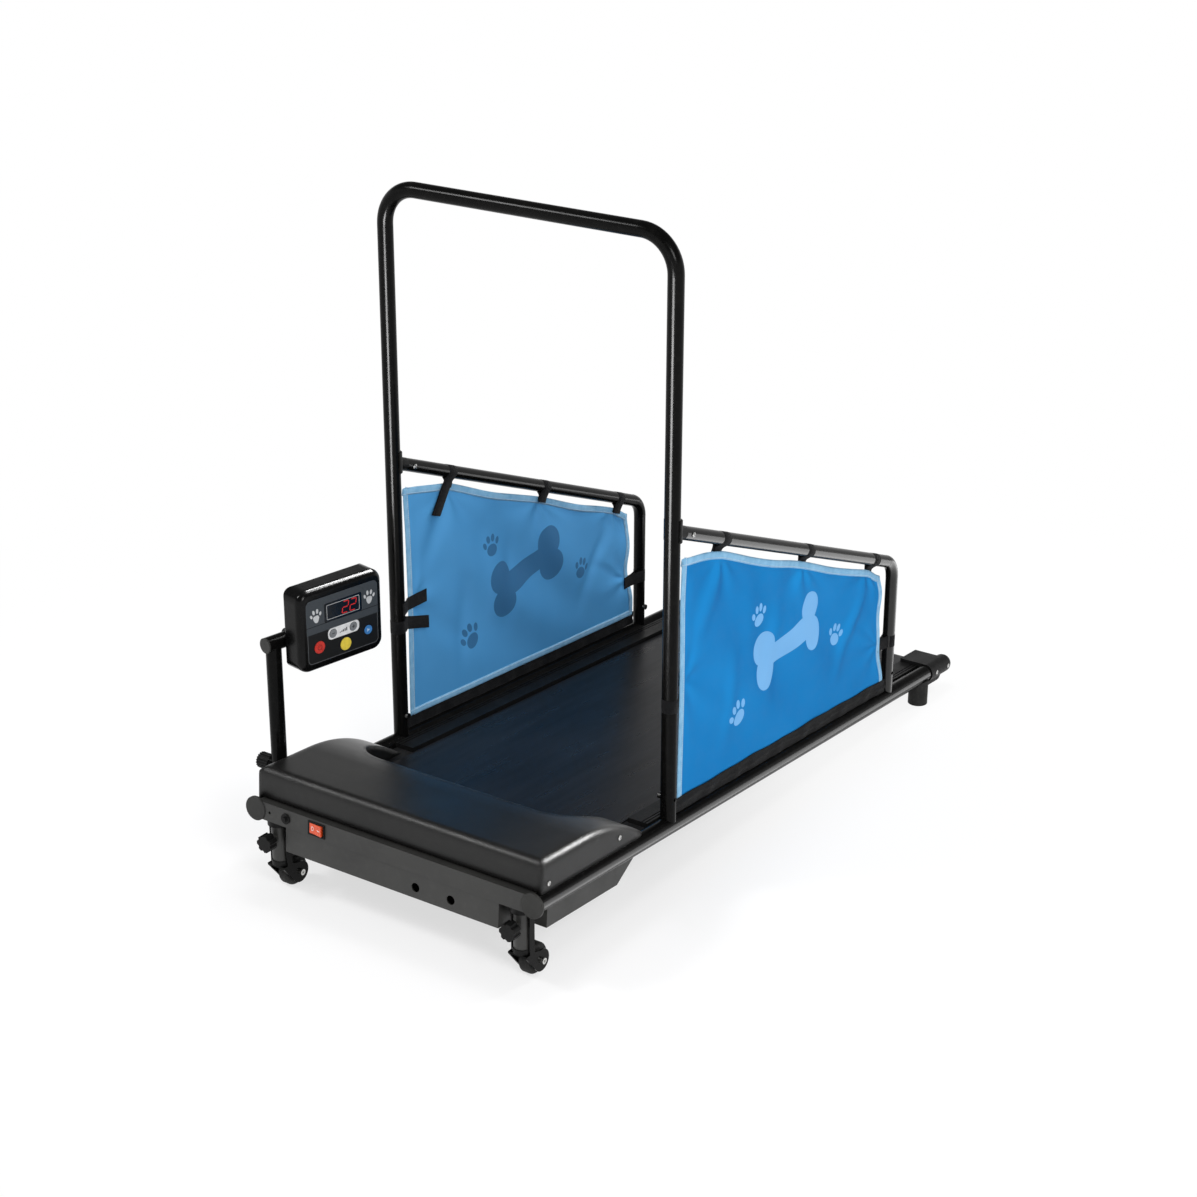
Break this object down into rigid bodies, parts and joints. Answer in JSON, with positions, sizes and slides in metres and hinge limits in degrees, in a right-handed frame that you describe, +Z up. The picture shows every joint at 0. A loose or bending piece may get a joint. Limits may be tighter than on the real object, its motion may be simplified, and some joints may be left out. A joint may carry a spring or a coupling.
{
  "type": "dog treadmill",
  "caption": "Inclined dog treadmill with a running belt, motor hood, hand hoop, fabric side screens, telescoping wheel legs and a tilting console on a clamped arm.",
  "frame": {"origin": "on the floor, under the centre of the whole machine's box", "axes": "+Z up, +Y along the belt from the motor hood to the rear, +X to the right of a dog that runs towards the hood"},
  "size_m": [0.6246, 1.3478, 1.0787],
  "materials": {
    "frame_paint": "semi-gloss black powder coat",
    "steel": "bright zinc",
    "dark_steel": "black oxide",
    "hood_plastic": "satin moulded plastic",
    "dark_plastic": "matt moulded plastic",
    "tray_sheet": "matt black sheet",
    "rubber": "matt rubber",
    "belt": "fine diamond texture",
    "board": "fibreboard",
    "motor_metal": "cast housing",
    "circuit": "green board",
    "screen_cloth": "woven polyester",
    "strap_web": "woven tape",
    "console_plastic": "satin moulded plastic",
    "overlay_film": "printed film",
    "display": "dark clear window",
    "red_plastic": "gloss red",
    "orange_plastic": "gloss orange red",
    "grey_plastic": "grey",
    "yellow_plastic": "yellow",
    "blue_plastic": "blue"
  },
  "bodies": {
    "frame": {"left_rail": "frame_paint", "right_rail": "frame_paint", "front_beam": "frame_paint", "cross_braces": "frame_paint", "handle_hoop": "frame_paint", "left_side_bar": "frame_paint", "right_side_bar": "frame_paint", "arm_bracket": "frame_paint", "cover_screws": "steel", "frame_bolts": "dark_steel", "roller_bearings": "dark_steel", "motor_mount": "dark_steel", "motor_hood": "hood_plastic", "end_discs": "dark_plastic", "leg_rings": "dark_plastic", "left_foot_strip": "dark_plastic", "right_foot_strip": "dark_plastic", "left_end_cap": "dark_plastic", "right_end_cap": "dark_plastic", "switch_frame": "dark_plastic", "breaker_body": "dark_plastic", "bar_clips": "dark_plastic", "motor_tray": "tray_sheet", "rear_feet": "rubber", "drive_belt": "rubber", "running_belt": "belt", "deck_board": "board", "motor_body": "motor_metal", "controller_board": "circuit", "left_screen": "screen_cloth", "right_screen": "screen_cloth", "screen_straps": "strap_web"},
    "front_roller": {"front_roller": "steel", "roller_pulley": "dark_steel"},
    "rear_roller": {"rear_roller": "steel"},
    "motor_rotor": {"motor_rotor": "dark_steel"},
    "left_leg": {"left_leg": "frame_paint", "left_axle": "steel"},
    "right_leg": {"right_leg": "frame_paint", "right_axle": "steel"},
    "left_wheel": {"left_wheel": "rubber"},
    "right_wheel": {"right_wheel": "rubber"},
    "left_leg_knob": {"left_leg_knob": "dark_plastic"},
    "right_leg_knob": {"right_leg_knob": "dark_plastic"},
    "rocker": {"rocker": "orange_plastic"},
    "breaker_button": {"breaker_button": "dark_plastic"},
    "console_arm": {"console_arm": "frame_paint", "tee_plugs": "dark_plastic"},
    "arm_knob": {"arm_knob": "dark_plastic"},
    "console": {"console_back": "console_plastic", "console_front": "console_plastic", "console_overlay": "overlay_film", "display_window": "display", "console_board": "circuit"},
    "power_button": {"power_button": "red_plastic"},
    "minus_button": {"minus_button": "grey_plastic"},
    "plus_button": {"plus_button": "grey_plastic"},
    "yellow_button": {"yellow_button": "yellow_plastic"},
    "blue_button": {"blue_button": "blue_plastic"}
  },
  "joints": [
    {"name": "front_roller_spin", "type": "hinge", "parent": "frame", "child": "front_roller", "pos_m": [0.0238, -0.50501, 0.1174], "axis": [1, 0, 0], "continuous": true},
    {"name": "rear_roller_spin", "type": "hinge", "parent": "frame", "child": "rear_roller", "pos_m": [0.0238, 0.62394, 0.03442], "axis": [1, 0, 0], "continuous": true},
    {"name": "motor_spin", "type": "hinge", "parent": "frame", "child": "motor_rotor", "pos_m": [0.0238, -0.57483, 0.12253], "axis": [1, 0, 0], "continuous": true},
    {"name": "left_leg_slide", "type": "slide", "parent": "frame", "child": "left_leg", "axis": [0, 0, -1], "range_m": [0, 0.03]},
    {"name": "left_wheel_spin", "type": "hinge", "parent": "left_leg", "child": "left_wheel", "pos_m": [-0.2132, -0.61048, 0.025], "axis": [1, 0, 0], "continuous": true},
    {"name": "left_leg_knob_turn", "type": "hinge", "parent": "frame", "child": "left_leg_knob", "pos_m": [-0.2132, -0.65648, 0.0961], "axis": [0, 1, 0], "range_deg": [0, 360]},
    {"name": "right_leg_slide", "type": "slide", "parent": "frame", "child": "right_leg", "axis": [0, 0, -1], "range_m": [0, 0.03]},
    {"name": "right_wheel_spin", "type": "hinge", "parent": "right_leg", "child": "right_wheel", "pos_m": [0.2608, -0.61048, 0.025], "axis": [1, 0, 0], "continuous": true},
    {"name": "right_leg_knob_turn", "type": "hinge", "parent": "frame", "child": "right_leg_knob", "pos_m": [0.2608, -0.65648, 0.0961], "axis": [0, 1, 0], "range_deg": [0, 360]},
    {"name": "rocker_tip", "type": "hinge", "parent": "frame", "child": "rocker", "pos_m": [-0.1192, -0.6496, 0.14206], "axis": [0, 0.0733, 0.9973], "range_deg": [0, 16]},
    {"name": "breaker_press", "type": "slide", "parent": "frame", "child": "breaker_button", "axis": [0, 0.9973, -0.0733], "range_m": [0, 0.002], "stiffness_N_per_m": 1500, "springref_m": -0.001},
    {"name": "arm_swing", "type": "hinge", "parent": "frame", "child": "console_arm", "pos_m": [-0.2732, -0.56258, 0.17167], "axis": [1, 0, 0], "range_deg": [-15, 75]},
    {"name": "arm_knob_turn", "type": "hinge", "parent": "frame", "child": "arm_knob", "pos_m": [-0.2732, -0.56258, 0.17167], "axis": [1, 0, 0], "range_deg": [0, 360]},
    {"name": "console_tilt", "type": "hinge", "parent": "console_arm", "child": "console", "pos_m": [-0.2732, -0.56258, 0.386], "axis": [-0.1908, -0.9816, 0], "range_deg": [-10, 35]},
    {"name": "power_press", "type": "slide", "parent": "console", "child": "power_button", "axis": [-0.9816, 0.1908, 0], "range_m": [0, 0.0006], "stiffness_N_per_m": 1200, "springref_m": -0.0005},
    {"name": "minus_press", "type": "slide", "parent": "console", "child": "minus_button", "axis": [-0.9816, 0.1908, 0], "range_m": [0, 0.0006], "stiffness_N_per_m": 1200, "springref_m": -0.0005},
    {"name": "plus_press", "type": "slide", "parent": "console", "child": "plus_button", "axis": [-0.9816, 0.1908, 0], "range_m": [0, 0.0006], "stiffness_N_per_m": 1200, "springref_m": -0.0005},
    {"name": "yellow_press", "type": "slide", "parent": "console", "child": "yellow_button", "axis": [-0.9816, 0.1908, 0], "range_m": [0, 0.0006], "stiffness_N_per_m": 1200, "springref_m": -0.0005},
    {"name": "blue_press", "type": "slide", "parent": "console", "child": "blue_button", "axis": [-0.9816, 0.1908, 0], "range_m": [0, 0.0006], "stiffness_N_per_m": 1200, "springref_m": -0.0005}
  ],
  "couplings": [
    {"joint": "rear_roller_spin", "follows": "front_roller_spin", "ratio": 1},
    {"joint": "motor_spin", "follows": "front_roller_spin", "ratio": 2.4286}
  ]
}
